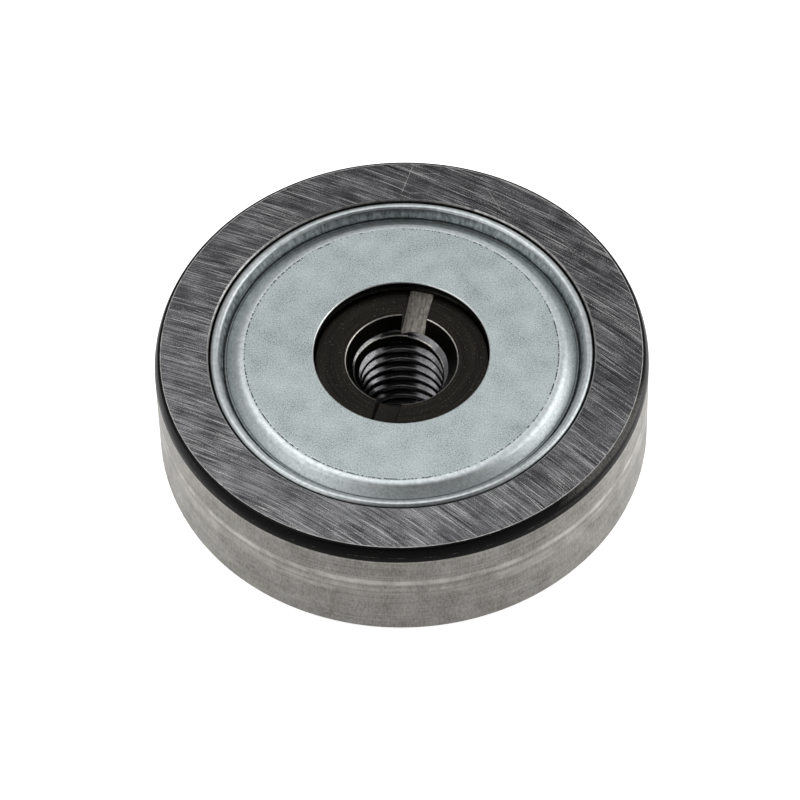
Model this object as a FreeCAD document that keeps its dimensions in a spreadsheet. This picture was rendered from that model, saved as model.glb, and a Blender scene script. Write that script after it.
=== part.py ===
import FreeCAD, Part
import math
import os

import Sketcher

# Stud cam follower: a ball-bearing track roller on a black stud.
# Millimetres. The origin is on the axis, in the plane of the collar's seat face, and +Z points
# from the stud towards the front cover.

document = FreeCAD.newDocument("stud_cam_follower")

# Driving dimensions
dimensions = {
    # stud
    "stud_diameter": 15.0,
    "stud_chamfer": 0.5,
    "slot_width": 2.0,
    "slot_depth": 1.95,
    "slot_saw_radius": 16.0,
    "thread_diameter": 8.0,
    "thread_pitch": 1.25,
    "centre_cone_margin": 0.55,
    "centre_cone_angle": 60.0,
    "end_countersink_margin": 0.25,
    "collar_step": 0.55,
    "collar_chamfer": 0.3,
    "collar_standoff": 0.75,
    "collar_inset": 1.0,
    "spigot_wall": 2.0,
    "spigot_length": 6.0,
    "spigot_chamfer": 0.6,
    "relief_depth": 0.25,
    "relief_width": 0.8,
    "relief_face_depth": 0.2,
    "relief_face_reach": 0.5,
    # bearing
    "inner_ring_wall": 2.0,
    "inner_ring_chamfer": 0.3,
    "inner_ring_setback": 0.15,
    "ball_diameter": 5.95,
    "ball_count": 8,
    "ball_clearance": 0.025,
    "raceway_ratio": 1.05,
    "raceway_depth": 1.05,
    "cage_sheet": 0.6,
    "cage_width": 2.6,
    "pocket_clearance": 0.12,
    "rivet_diameter": 1.2,
    "rivet_head_overhang": 0.35,
    "rivet_head_height": 0.45,
    # roller
    "outer_ring_wall": 4.5,
    "side_space": 2.525,
    "front_corner_width": 0.5,
    "front_corner_height": 1.27,
    "front_corner_knee_inset": 0.25,
    "front_corner_knee_drop": 0.17,
    "rear_corner": 0.9,
    "seat_ledge": 1.17,
    "mouth_bevel": 0.12,
    "lock_lip": 0.45,
    "lock_groove_depth": 0.25,
    # front cover and seal washer, two pressings with the same rolled rim
    "plate_sheet": 0.6,
    "plate_play": 0.03,
    "rim_gap": 0.155,
    "rim_width": 0.7,
    "rim_shoulder": 0.22,
    "rim_fullness": 0.6,
    "rim_neck": 0.5,
    "rim_wall_slant": 0.45,
    "crease_depth": 1.0,
    "crease_half_width": 0.18,
    "crease_rise": 0.08,
    "crease_round": 0.28,
    "ramp_width": 1.55,
    "ramp_bend_run": 0.712,
    "ramp_bend_fall": 0.234,
    "ramp_bend_round": 1.2,
    "cover_drop": 0.2,
    "cover_overlap": 0.39,
    "cover_stud_gap": 0.4,
    "seal_drop": 0.3,
    "seal_window": 1.15,
    "lip_gap": 0.04,
    "lip_bond": 0.7,
    "lip_body": 0.4,
    "lip_wrap": 0.4,
    "lip_recess": 0.1,
    "lip_reach": 0.45,
    "lip_edge": 0.15,
}

sheet = document.addObject("Spreadsheet::Sheet", "sizes")
for row, (alias, number) in enumerate(dimensions.items(), start=1):
    sheet.set(f"A{row}", alias)
    sheet.set(f"B{row}", str(number))
    sheet.setAlias(f"B{row}", alias)
document.recompute()


class Length:
    # A length worked out from the sheet: its present value, and the expression that binds it.

    def __init__(self, value, text):
        self.value = value
        self.text = text

    def __add__(self, other):
        other = as_length(other)
        return Length(self.value + other.value, f"({self.text} + {other.text})")

    def __sub__(self, other):
        other = as_length(other)
        return Length(self.value - other.value, f"({self.text} - {other.text})")

    def __mul__(self, other):
        other = as_length(other)
        return Length(self.value * other.value, f"({self.text} * {other.text})")

    def __truediv__(self, other):
        other = as_length(other)
        return Length(self.value / other.value, f"({self.text} / {other.text})")


def as_length(number):
    if isinstance(number, Length):
        return number
    return Length(float(number), str(float(number)))


def size(alias):
    return Length(float(sheet.get(alias)), f"sizes.{alias}")


def root(length):
    return Length(math.sqrt(length.value), f"sqrt({length.text})")


def tangent(degrees):
    return Length(math.tan(math.radians(degrees.value)), f"tan({degrees.text} * 1 deg)")


def sine(degrees):
    return Length(math.sin(math.radians(degrees.value)), f"sin({degrees.text} * 1 deg)")


def cosine(degrees):
    return Length(math.cos(math.radians(degrees.value)), f"cos({degrees.text} * 1 deg)")


zero = as_length(0)

# Radii, from the stud outwards
stud_radius = size("stud_diameter") / 2
ball_radius = size("ball_diameter") / 2
raceway_radius = ball_radius * size("raceway_ratio")
inner_groove_radius = stud_radius + size("inner_ring_wall")
pitch_radius = inner_groove_radius + size("ball_clearance") + ball_radius
outer_groove_radius = pitch_radius + ball_radius + size("ball_clearance")
inner_land_radius = inner_groove_radius + size("raceway_depth")
outer_land_radius = outer_groove_radius - size("raceway_depth")
roller_radius = outer_groove_radius + size("outer_ring_wall")
mouth_radius = outer_land_radius + size("seat_ledge")
raceway_half_width = root(raceway_radius * size("raceway_depth") * 2
                          - size("raceway_depth") * size("raceway_depth"))

# Heights, from the collar's seat face up
half_width = ball_radius + size("side_space")
roller_width = half_width * 2
rear_face_height = size("collar_standoff")
middle_height = rear_face_height + half_width
front_face_height = rear_face_height + roller_width
seat_depth = size("crease_depth") + size("plate_sheet")
collar_top_height = rear_face_height + size("collar_inset")
stud_face_height = (front_face_height - size("cover_drop") - size("plate_sheet")
                    - size("cover_stud_gap"))
inner_ring_top_height = stud_face_height - size("inner_ring_setback")

# Turns of the balls, cage pockets and rivets round the axis
full_turn = 360
pitch_angle = as_length(full_turn) / size("ball_count")


def origin_feature(body, role):
    for feature in body.Origin.OriginFeatures:
        if feature.Role == role:
            return feature
    raise ValueError(f"{body.Label} has no {role}")


def new_body(label, height=zero):
    body = document.addObject("PartDesign::Body", label)
    body.Label = label
    body.setExpression("Placement.Base.z", height.text)
    return body


def new_sketch(body, name, plane):
    sketch = body.newObject("Sketcher::SketchObject", name)
    sketch.AttachmentSupport = [(origin_feature(body, plane), "")]
    sketch.MapMode = "FlatFace"
    return sketch


def bind(sketch, kind, elements, length):
    index = sketch.addConstraint(Sketcher.Constraint(kind, *elements, length.value))
    sketch.setExpression(f"Constraints[{index}]", length.text)


def pin_point(sketch, geometry, end, across, up):
    # Fixes one end of an edge at its distances from the sketch's origin.
    for kind, axis, length in (("DistanceX", -2, across), ("DistanceY", -1, up)):
        if length is zero:
            sketch.addConstraint(Sketcher.Constraint("PointOnObject", geometry, end, axis))
        else:
            bind(sketch, kind, (-1, 1, geometry, end), length)


def arc_between(start, finish, radius, bulge):
    # The shorter arc; a bulge of 1 swells to the left of the way from start to finish, -1 to the right.
    chord = finish - start
    left = FreeCAD.Vector(-chord.y, chord.x, 0)
    left.normalize()
    rise = math.sqrt(radius ** 2 - (chord.Length / 2) ** 2)
    centre = (start + finish) / 2 - left * (bulge * rise)
    circle = Part.Circle(centre, FreeCAD.Vector(0, 0, 1), radius)
    first, last = (finish, start) if bulge > 0 else (start, finish)
    return Part.ArcOfCircle(circle, circle.parameter(first), circle.parameter(last))


def draw_profile(sketch, corners):
    # A closed outline of (across, up) corners. A corner with a radius and a bulge ends an arc.
    points = [FreeCAD.Vector(corner[0].value, corner[1].value, 0) for corner in corners]
    ends = []
    for number, corner in enumerate(corners):
        start, finish = points[number - 1], points[number]
        if len(corner) == 2:
            edge = sketch.addGeometry(Part.LineSegment(start, finish), False)
            ends.append((edge, 1, 2))
        else:
            radius, bulge = corner[2:]
            edge = sketch.addGeometry(arc_between(start, finish, radius.value, bulge), False)
            bind(sketch, "Radius", (edge,), radius)
            ends.append((edge, 2, 1) if bulge > 0 else (edge, 1, 2))
    for number, corner in enumerate(corners):
        edge, _, tail = ends[number]
        follower, head, _ = ends[(number + 1) % len(ends)]
        sketch.addConstraint(Sketcher.Constraint("Coincident", edge, tail, follower, head))
        pin_point(sketch, edge, tail, corner[0], corner[1])


def turn(body, name, corners):
    # A solid of revolution about the body's Z axis.
    sketch = new_sketch(body, name + "_profile", "XZ_Plane")
    draw_profile(sketch, corners)
    revolution = body.newObject("PartDesign::Revolution", name)
    revolution.Profile = sketch
    revolution.ReferenceAxis = (sketch, ["V_Axis"])
    revolution.Angle = full_turn
    document.recompute()
    return revolution


def spread_round(body, name, feature):
    # Repeats a feature once for every ball.
    pattern = body.newObject("PartDesign::PolarPattern", name)
    pattern.Originals = [feature]
    pattern.Axis = (origin_feature(body, "Z_Axis"), [""])
    pattern.Angle = full_turn
    pattern.setExpression("Occurrences", "sizes.ball_count")
    body.Tip = pattern
    document.recompute()
    return pattern


def cut_circles(body, name, plane, radii, side_type, depth, centre=(zero, zero)):
    # A pocket with a circle for each radius, down from one of the body's planes or to both sides of it.
    volume_before = body.Tip.Shape.Volume
    sketch = new_sketch(body, name + "_circles", plane)
    middle = FreeCAD.Vector(centre[0].value, centre[1].value, 0)
    for radius in radii:
        circle = Part.Circle(middle, FreeCAD.Vector(0, 0, 1), radius.value)
        edge = sketch.addGeometry(circle, False)
        bind(sketch, "Radius", (edge,), radius)
        pin_point(sketch, edge, 3, *centre)
    pocket = body.newObject("PartDesign::Pocket", name)
    pocket.Profile = sketch
    pocket.SideType = side_type
    pocket.Type = "Length"
    pocket.setExpression("Length", depth.text)
    document.recompute()
    if pocket.Shape.Volume >= volume_before:
        raise ValueError(f"{name} of {body.Label} cuts nothing")
    return pocket


def make_outer_ring():
    # The front corner has a long flank that runs into the outside, and a short round that runs into the face.
    rim = mouth_radius + size("mouth_bevel")
    groove = mouth_radius + size("lock_groove_depth")
    groove_start = size("lock_lip") + size("lock_groove_depth")
    knee_inset = size("front_corner_knee_inset")
    knee_drop = size("front_corner_knee_drop")
    flank_rise = size("front_corner_height") - knee_drop
    flank_round = (knee_inset * knee_inset + flank_rise * flank_rise) / (knee_inset * 2)
    edge_run = size("front_corner_width") - knee_inset
    edge_round = (edge_run * edge_run + knee_drop * knee_drop) / (knee_drop * 2)
    ring = new_body("outer_ring", rear_face_height)
    turn(ring, "ring", [
        (rim, zero),
        (roller_radius - size("rear_corner"), zero),
        (roller_radius, size("rear_corner"), size("rear_corner"), -1),
        (roller_radius, roller_width - size("front_corner_height")),
        (roller_radius - knee_inset, roller_width - knee_drop, flank_round, -1),
        (roller_radius - size("front_corner_width"), roller_width, edge_round, -1),
        (rim, roller_width),
        (mouth_radius, roller_width - size("mouth_bevel")),
        (mouth_radius, roller_width - size("lock_lip")),
        (groove, roller_width - groove_start),
        (groove, roller_width - seat_depth),
        (outer_land_radius, roller_width - seat_depth),
        (outer_land_radius, half_width + raceway_half_width),
        (outer_land_radius, half_width - raceway_half_width, raceway_radius, 1),
        (outer_land_radius, seat_depth),
        (groove, seat_depth),
        (groove, groove_start),
        (mouth_radius, size("lock_lip")),
        (mouth_radius, size("mouth_bevel")),
    ])
    return ring


def plate_profile(hole_radius, drop, height_of, outward):
    # Section of a pressed plate with a rolled rim. height_of turns a depth below the ring's face into
    # a height in the plate's body, and outward is 1 where the ring's face looks up, -1 where down.
    rim_outer = mouth_radius - size("rim_gap")
    rim_inner = rim_outer - size("rim_width")
    rim_round = size("rim_width") * size("rim_fullness")
    foot = mouth_radius + size("lock_groove_depth") - size("plate_play")
    foot_top = size("rim_neck") + foot - rim_outer
    crease = rim_inner - size("rim_wall_slant")
    crease_side = size("crease_depth") - size("crease_rise")
    disc = crease - size("ramp_width")
    back = drop + size("plate_sheet")
    return [
        (hole_radius, height_of(back)),
        (hole_radius, height_of(drop)),
        (disc, height_of(drop)),
        (disc + size("ramp_bend_run"), height_of(drop + size("ramp_bend_fall")),
         size("ramp_bend_round"), outward),
        (crease - size("crease_half_width"), height_of(crease_side)),
        (crease + size("crease_half_width"), height_of(crease_side), size("crease_round"), -outward),
        (rim_inner, height_of(size("rim_shoulder"))),
        (rim_outer, height_of(size("rim_shoulder")), rim_round, outward),
        (rim_outer, height_of(size("rim_neck"))),
        (foot, height_of(foot_top)),
        (foot, height_of(seat_depth)),
        (crease - size("crease_half_width"), height_of(seat_depth)),
        (disc, height_of(back)),
    ]


def make_front_cover():
    cover = new_body("front_cover", front_face_height - seat_depth)

    def height_of(depth):
        return zero if depth is seat_depth else seat_depth - depth

    hole_radius = stud_radius - size("cover_overlap")
    turn(cover, "cover", plate_profile(hole_radius, size("cover_drop"), height_of, 1))
    return cover


def make_seal_washer():
    washer = new_body("seal_washer", rear_face_height)

    def height_of(depth):
        return depth

    hole_radius = inner_land_radius + size("seal_window")
    turn(washer, "washer", plate_profile(hole_radius, size("seal_drop"), height_of, -1))
    return washer


def make_seal_lip():
    # Rubber bonded behind the washer and round its inner edge, with a thin lip towards the land.
    window = inner_land_radius + size("seal_window")
    back = size("seal_drop") + size("plate_sheet")
    body_top = back + size("lip_body")
    tip = inner_land_radius + size("lip_gap")
    tip_top = body_top + size("lip_reach")
    wrap = window - size("lip_wrap")
    wrap_start = size("seal_drop") + size("lip_recess")
    lip = new_body("seal_lip", rear_face_height)
    turn(lip, "lip", [
        (window, back),
        (window + size("lip_bond"), back),
        (window + size("lip_bond"), body_top),
        (window, body_top),
        (tip, tip_top),
        (tip, tip_top - size("lip_edge")),
        (wrap, back + size("lip_recess")),
        (wrap, wrap_start),
        (window, wrap_start),
    ])
    return lip


def make_inner_ring():
    ring = new_body("inner_ring", collar_top_height)
    top = inner_ring_top_height - collar_top_height
    raceway = middle_height - collar_top_height
    chamfer = size("inner_ring_chamfer")
    turn(ring, "ring", [
        (stud_radius + chamfer, zero),
        (inner_land_radius - chamfer, zero),
        (inner_land_radius, chamfer),
        (inner_land_radius, raceway - raceway_half_width),
        (inner_land_radius, raceway + raceway_half_width, raceway_radius, 1),
        (inner_land_radius, top - chamfer),
        (inner_land_radius - chamfer, top),
        (stud_radius + chamfer, top),
        (stud_radius, top - chamfer),
        (stud_radius, chamfer),
    ])
    return ring


def make_stud():
    # Turned stud with the tapped hole at its minor diameter, and the slot sawn across its front face
    # with a round saw, so that it runs out at the stud's edge.
    minor_share = 5 / 8 * math.sqrt(3) / 2
    thread_radius = size("thread_diameter") / 2
    minor_radius = thread_radius - size("thread_pitch") * minor_share
    cone_radius = thread_radius + size("centre_cone_margin")
    cone_depth = (cone_radius - minor_radius) / tangent(size("centre_cone_angle") / 2)
    countersink = thread_radius + size("end_countersink_margin")
    spigot_radius = thread_radius + size("spigot_wall")
    relief_radius = spigot_radius - size("relief_depth")
    relief_edge = spigot_radius + size("relief_face_reach")
    collar_radius = inner_land_radius - size("collar_step")
    seat = size("spigot_length")
    collar_top = seat + collar_top_height
    face = seat + stud_face_height
    stud = new_body("stud", zero - seat)
    turn(stud, "turned", [
        (countersink, zero),
        (spigot_radius - size("spigot_chamfer"), zero),
        (spigot_radius, size("spigot_chamfer")),
        (spigot_radius, seat - size("relief_width")),
        (relief_radius, seat - size("relief_width") + size("relief_depth")),
        (relief_radius, seat + size("relief_face_depth")),
        (relief_edge - size("relief_face_depth"), seat + size("relief_face_depth")),
        (relief_edge, seat),
        (collar_radius - size("collar_chamfer"), seat),
        (collar_radius, seat + size("collar_chamfer")),
        (collar_radius, collar_top - size("collar_chamfer")),
        (collar_radius - size("collar_chamfer"), collar_top),
        (stud_radius, collar_top),
        (stud_radius, face - size("stud_chamfer")),
        (stud_radius - size("stud_chamfer"), face),
        (cone_radius, face),
        (minor_radius, face - cone_depth),
        (minor_radius, countersink - minor_radius),
    ])
    saw_height = face + size("slot_saw_radius") - size("slot_depth")
    cut_circles(stud, "slot", "YZ_Plane", [size("slot_saw_radius")], "Symmetric", size("slot_width"),
                (zero, saw_height))
    return stud


def make_cage_half(label, flip):
    # One pressed ribbon: a flat ring swollen into a round pocket over every ball, on one side of the
    # balls' middle plane.
    half = new_body(label, middle_height)
    half.Placement = FreeCAD.Placement(FreeCAD.Vector(), FreeCAD.Rotation(FreeCAD.Vector(1, 0, 0), flip))
    inner = pitch_radius - size("cage_width") / 2
    outer = pitch_radius + size("cage_width") / 2
    pocket_radius = ball_radius + size("pocket_clearance")
    shell_radius = pocket_radius + size("cage_sheet")
    turn(half, "ribbon", [
        (inner, zero),
        (outer, zero),
        (outer, size("cage_sheet")),
        (inner, size("cage_sheet")),
    ])

    def add_spheres(kind, name, radius):
        sphere = half.newObject(kind, name)
        sphere.AttachmentSupport = [(origin_feature(half, "XY_Plane"), "")]
        sphere.MapMode = "FlatFace"
        sphere.setExpression("AttachmentOffset.Base.x", pitch_radius.text)
        sphere.setExpression("Radius", radius.text)
        half.Tip = sphere
        document.recompute()
        return spread_round(half, name + "_round", sphere)

    add_spheres("PartDesign::AdditiveSphere", "pocket_shell", shell_radius)
    reach = outer + shell_radius
    cut_circles(half, "edges", "XY_Plane", [inner, outer, reach], "Symmetric", shell_radius * 2)
    cut_circles(half, "parting", "XY_Plane", [reach], "One side", shell_radius)
    add_spheres("PartDesign::SubtractiveSphere", "pocket", pocket_radius)
    half_pitch = pitch_angle / 2
    rivet_centre = (pitch_radius * cosine(half_pitch), pitch_radius * sine(half_pitch))
    rivet_radius = size("rivet_diameter") / 2
    hole = cut_circles(half, "rivet_hole", "XY_Plane", [rivet_radius], "Symmetric", shell_radius * 2,
                       rivet_centre)
    spread_round(half, "rivet_holes_round", hole)
    return half


def make_rivets():
    # All the rivets, one solid each: a straight shank between two domed heads.
    shank = size("rivet_diameter") / 2
    head = shank + size("rivet_head_overhang")
    rise = size("rivet_head_height")
    dome = (head * head + rise * rise) / (rise * 2)
    grip = size("cage_sheet") * 2
    rivets = new_body("cage_rivets", middle_height - size("cage_sheet") - rise)
    rivets.AllowCompound = True
    sketch = new_sketch(rivets, "rivet_profile", "XZ_Plane")
    draw_profile(sketch, [
        (pitch_radius, zero),
        (pitch_radius + head, rise, dome, -1),
        (pitch_radius + shank, rise),
        (pitch_radius + shank, rise + grip),
        (pitch_radius + head, rise + grip),
        (pitch_radius, rise * 2 + grip, dome, -1),
    ])
    start = FreeCAD.Vector(pitch_radius.value, 0, 0)
    finish = FreeCAD.Vector(pitch_radius.value, (rise * 2 + grip).value, 0)
    axis = sketch.addGeometry(Part.LineSegment(start, finish), True)
    pin_point(sketch, axis, 1, pitch_radius, zero)
    pin_point(sketch, axis, 2, pitch_radius, rise * 2 + grip)
    rivet = rivets.newObject("PartDesign::Revolution", "rivet")
    rivet.Profile = sketch
    rivet.ReferenceAxis = (sketch, ["Axis0"])
    rivet.Angle = full_turn
    document.recompute()
    spread_round(rivets, "rivets_round", rivet)
    rivets.setExpression("Placement.Rotation.Angle", f"{pitch_angle.text} / 2 * 1 deg")
    return rivets


def make_ball(number):
    ball = document.addObject("Part::Sphere", f"ball_{number + 1}")
    ball.Label = f"ball_{number + 1}"
    ball.setExpression("Radius", ball_radius.text)
    angle = f"{pitch_angle.text} * {number} * 1 deg"
    ball.setExpression("Placement.Base.x", f"{pitch_radius.text} * cos({angle})")
    ball.setExpression("Placement.Base.y", f"{pitch_radius.text} * sin({angle})")
    ball.setExpression("Placement.Base.z", middle_height.text)
    return ball


sub_parts = [
    make_outer_ring(),
    make_front_cover(),
    make_seal_washer(),
    make_seal_lip(),
    make_inner_ring(),
    make_stud(),
]
for label, flip in (("cage_front", 0), ("cage_rear", 180)):
    sub_parts.append(make_cage_half(label, flip))
sub_parts.append(make_rivets())
for number in range(int(size("ball_count").value)):
    sub_parts.append(make_ball(number))
document.recompute()

for thing in document.Objects:
    if "Invalid" in thing.State or "Error" in thing.State:
        raise ValueError(f"{thing.Label} failed: {thing.State}")

os.makedirs("parts", exist_ok=True)
for sub_part in sub_parts:
    shape = sub_part.Shape
    if shape.isNull() or not shape.isValid():
        raise ValueError(f"{sub_part.Label} has no valid shape")
    shape.exportStep(f"parts/{sub_part.Label}.step")
    print(sub_part.Label, len(shape.Solids), "solids", round(shape.Volume, 3), "mm3")
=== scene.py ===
import math

import bmesh
import bpy
from mathutils import Matrix, Quaternion, Vector, noise


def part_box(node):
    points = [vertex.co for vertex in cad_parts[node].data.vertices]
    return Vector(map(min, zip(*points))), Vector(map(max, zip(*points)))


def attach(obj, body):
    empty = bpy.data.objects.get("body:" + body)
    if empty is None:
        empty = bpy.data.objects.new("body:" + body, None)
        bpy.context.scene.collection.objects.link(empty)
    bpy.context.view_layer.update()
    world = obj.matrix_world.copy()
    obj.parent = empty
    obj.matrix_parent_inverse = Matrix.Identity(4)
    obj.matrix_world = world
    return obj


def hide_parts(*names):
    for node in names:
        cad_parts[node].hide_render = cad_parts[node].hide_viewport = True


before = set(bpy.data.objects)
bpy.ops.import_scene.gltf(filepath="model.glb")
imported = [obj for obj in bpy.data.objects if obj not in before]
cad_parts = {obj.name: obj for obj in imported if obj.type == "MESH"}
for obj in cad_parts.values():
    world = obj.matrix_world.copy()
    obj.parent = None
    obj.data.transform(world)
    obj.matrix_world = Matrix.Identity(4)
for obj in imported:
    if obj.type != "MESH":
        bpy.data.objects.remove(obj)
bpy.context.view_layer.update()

# Stud cam follower dressed on its CAD frame. Sizes are in mm and become metres as a mesh is made.
mm = 0.001
fullTurn = 2 * math.pi

# heights and radii that come from the frame
ringLow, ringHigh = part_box("outer_ring")
studLow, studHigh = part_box("stud")
ringRadius = ringHigh.x / mm
frontFace = ringHigh.z / mm
rearFace = ringLow.z / mm
studFace = studHigh.z / mm
studEnd = studLow.z / mm
print("frame: ring radius", round(ringRadius, 2), "faces", round(rearFace, 2), round(frontFace, 2))

# Outlines: (finish, across, up) ends a straight stretch, with (radius, bulge) behind it ends an arc.
# Angles in degrees: a step along an arc, the bend that gets a broken edge, the edge that is shaded sharp.
# Shares: what an edge may take of its stretch, and how far out its support points stand.
# Points closer than weld become one, and slivers go.
lathe = {"arcStep": 6, "edgeBend": 20, "sharpEdge": 40, "edgeShare": 0.3, "support": 1.5,
         "weld": 1e-4, "sliver": 1e-5}


def arcPoints(start, end, radius, bulge):
    chord = end - start
    left = Vector((-chord.y, chord.x)).normalized()
    rise = math.sqrt(max(radius ** 2 - chord.length_squared / 4, 0))
    centre = (start + end) / 2 - left * (bulge * rise)
    sweep = 2 * math.asin(min(chord.length / 2 / radius, 1))
    count = max(4, math.ceil(math.degrees(sweep) / lathe["arcStep"]))
    return [centre + Matrix.Rotation(-bulge * sweep * i / count, 2) @ (start - centre)
            for i in range(1, count + 1)]


def brokenCorner(before, here, after, edge):
    # a small round with a support point on each side, so that the flats stay flat
    back = before - here
    ahead = after - here
    reach = min(edge, back.length * lathe["edgeShare"], ahead.length * lathe["edgeShare"])
    start = here + back.normalized() * reach
    end = here + ahead.normalized() * reach
    points = [(here + back.normalized() * reach * lathe["support"], False)]
    for share in (0, 0.25, 0.5, 0.75, 1):
        near = start.lerp(here, share)
        far = here.lerp(end, share)
        points.append((near.lerp(far, share), share > 0.5))
    points.append((here + ahead.normalized() * reach * lathe["support"], True))
    return points


def outlineOf(stretches, edge, closed=True):
    corners = []
    last = Vector(stretches[-1][1:3])
    for stretch in stretches:
        here = Vector(stretch[1:3])
        points = arcPoints(last, here, *stretch[3:]) if len(stretch) > 3 else [here]
        corners += [(stretch[0], point) for point in points]
        last = here
    outline = []
    for number, (finish, here) in enumerate(corners):
        nextFinish, after = corners[(number + 1) % len(corners)]
        before = corners[number - 1][1]
        bend = (here - before).angle(after - here)
        isEnd = not closed and number in (0, len(corners) - 1)
        if isEnd or bend < math.radians(lathe["edgeBend"]):
            outline.append((finish, here))
            continue
        for point, isPast in brokenCorner(before, here, after, edge):
            outline.append((nextFinish if isPast else finish, point))
    return outline


def turnedGrid(outline, columns, wobble=None, closed=True):
    # vertices and faces of an outline turned about Z, with wobble(across, up, angle) moving each point
    rows = len(outline)
    points = []
    for column in range(columns):
        angle = fullTurn * column / columns
        for finish, point in outline:
            across, up = point if wobble is None else wobble(point.x, point.y, angle)
            points.append((across * math.cos(angle) * mm, across * math.sin(angle) * mm, up * mm))
    faces = []
    finishes = []
    for column in range(columns):
        here = column * rows
        beside = (column + 1) % columns * rows
        for row in range(0 if closed else 1, rows):
            before = (row - 1) % rows
            faces.append((here + before, here + row, beside + row, beside + before))
            finishes.append(outline[row][0])
    return points, faces, finishes


def placed(name, data):
    thing = bpy.data.objects.new(name, data)
    bpy.context.scene.collection.objects.link(thing)
    return thing


def meshObject(name, points, faces, finishes, materials):
    mesh = bpy.data.meshes.new(name)
    mesh.from_pydata(points, [], faces)
    for material in materials:
        mesh.materials.append(material)
    mesh.polygons.foreach_set("material_index", finishes)
    shaped = bmesh.new()
    shaped.from_mesh(mesh)
    bmesh.ops.remove_doubles(shaped, verts=shaped.verts, dist=lathe["weld"] * mm)
    bmesh.ops.dissolve_degenerate(shaped, edges=shaped.edges, dist=lathe["sliver"] * mm)
    bmesh.ops.recalc_face_normals(shaped, faces=shaped.faces)
    shaped.to_mesh(mesh)
    shaped.free()
    mesh.shade_smooth()
    mesh.set_sharp_from_angle(angle=math.radians(lathe["sharpEdge"]))
    return placed(name, mesh)


def cutWith(piece, cutter):
    modifier = piece.modifiers.new("cut", "BOOLEAN")
    modifier.operation = "DIFFERENCE"
    modifier.solver = "EXACT"
    modifier.object = cutter
    whole = piece.data
    piece.data = bpy.data.meshes.new_from_object(piece.evaluated_get(bpy.context.evaluated_depsgraph_get()))
    piece.data.set_sharp_from_angle(angle=math.radians(lathe["sharpEdge"]))
    piece.modifiers.clear()
    bpy.data.meshes.remove(whole)
    bpy.data.meshes.remove(cutter.data)


# Materials: colours are sRGB hex, tones go along a pattern from its dark to its light end

def linear(hexText):
    parts = [int(hexText[i:i + 2], 16) / 255 for i in (0, 2, 4)]
    return tuple(c / 12.92 if c <= 0.04045 else ((c + 0.055) / 1.055) ** 2.4 for c in parts) + (1.0,)


def addNode(tree, kind, links=None, stops=None, **settings):
    node = tree.nodes.new(kind)
    for name, value in settings.items():
        setattr(node, name, value)
    for place, (position, colour) in enumerate(stops or []):
        elements = node.color_ramp.elements
        stop = elements[place] if place < 2 else elements.new(position)  # a new ramp has two
        stop.position = position
        stop.color = linear(colour) if isinstance(colour, str) else (colour, colour, colour, 1)
    for socket, source in (links or {}).items():
        if isinstance(source, bpy.types.NodeSocket):
            tree.links.new(source, node.inputs[socket])
        else:
            node.inputs[socket].default_value = source
    return node


def newMaterial(name):
    material = bpy.data.materials.new(name)
    material.use_nodes = True
    tree = material.node_tree
    surface = next(node for node in tree.nodes if node.type == "BSDF_PRINCIPLED")
    place = addNode(tree, "ShaderNodeTexCoord")
    inMm = addNode(tree, "ShaderNodeVectorMath", {0: place.outputs["Object"], "Scale": 1 / mm},
                   operation="SCALE")
    return material, tree, surface, inMm.outputs["Vector"]


def dressSurface(tree, surface, colour, relief, depth, roughness, metallic=1.0):
    # colour and a relief some mm deep, plain values on the shader's own sockets
    bump = addNode(tree, "ShaderNodeBump", {"Height": relief, "Distance": depth * mm, "Strength": 1.0})
    tree.links.new(colour, surface.inputs["Base Color"])
    tree.links.new(bump.outputs[0], surface.inputs["Normal"])
    surface.inputs["Metallic"].default_value = metallic
    surface.inputs["Roughness"].default_value = roughness


# Bearing steel, hardened and face ground with a cup wheel: grey, crossed by fine bright lines that are
# slightly arced, and by a few stray ones
groundFace = {
    "tones": [(0.37, "2c2c2e"), (0.5, "58585a"), (0.63, "8c8c8e")], "bright": "e0e0de",
    "roughness": 0.34, "anisotropic": 0.35,
    "wheelCentre": (-26.9, -81.4),  # the lines are arcs about this far point
    # mm from there and what they add to the tone: painted light and shade, lighter on the near side and
    # darker on the far side
    "paintedLightAt": (66.0, 106.0), "paintedLightBy": (0.045, -0.05),
    # width and length in mm, drawn a little coarser than real grit so that they show
    "grit": (0.065, 6.0),
    # width, length, turn off the arcs in degrees, where the noise begins to show
    "scores": [(0.065, 7.0, 0, 0.59), (0.06, 7.0, 4, 0.63), (0.06, 7.0, -5, 0.635), (0.055, 9.0, 38, 0.7),
               (0.055, 6.0, -31, 0.7)],
    "scoreFade": 0.12, "scoreShare": 0.55, "scorePits": 0.25,
    "laneStep": 13.7,  # noise cells between two lanes, so that they have nothing in common
    "pit": 0.08, "pitShare": 0.4, "patch": 2.4, "patchShare": 0.3, "cut": 0.004,
}


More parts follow.
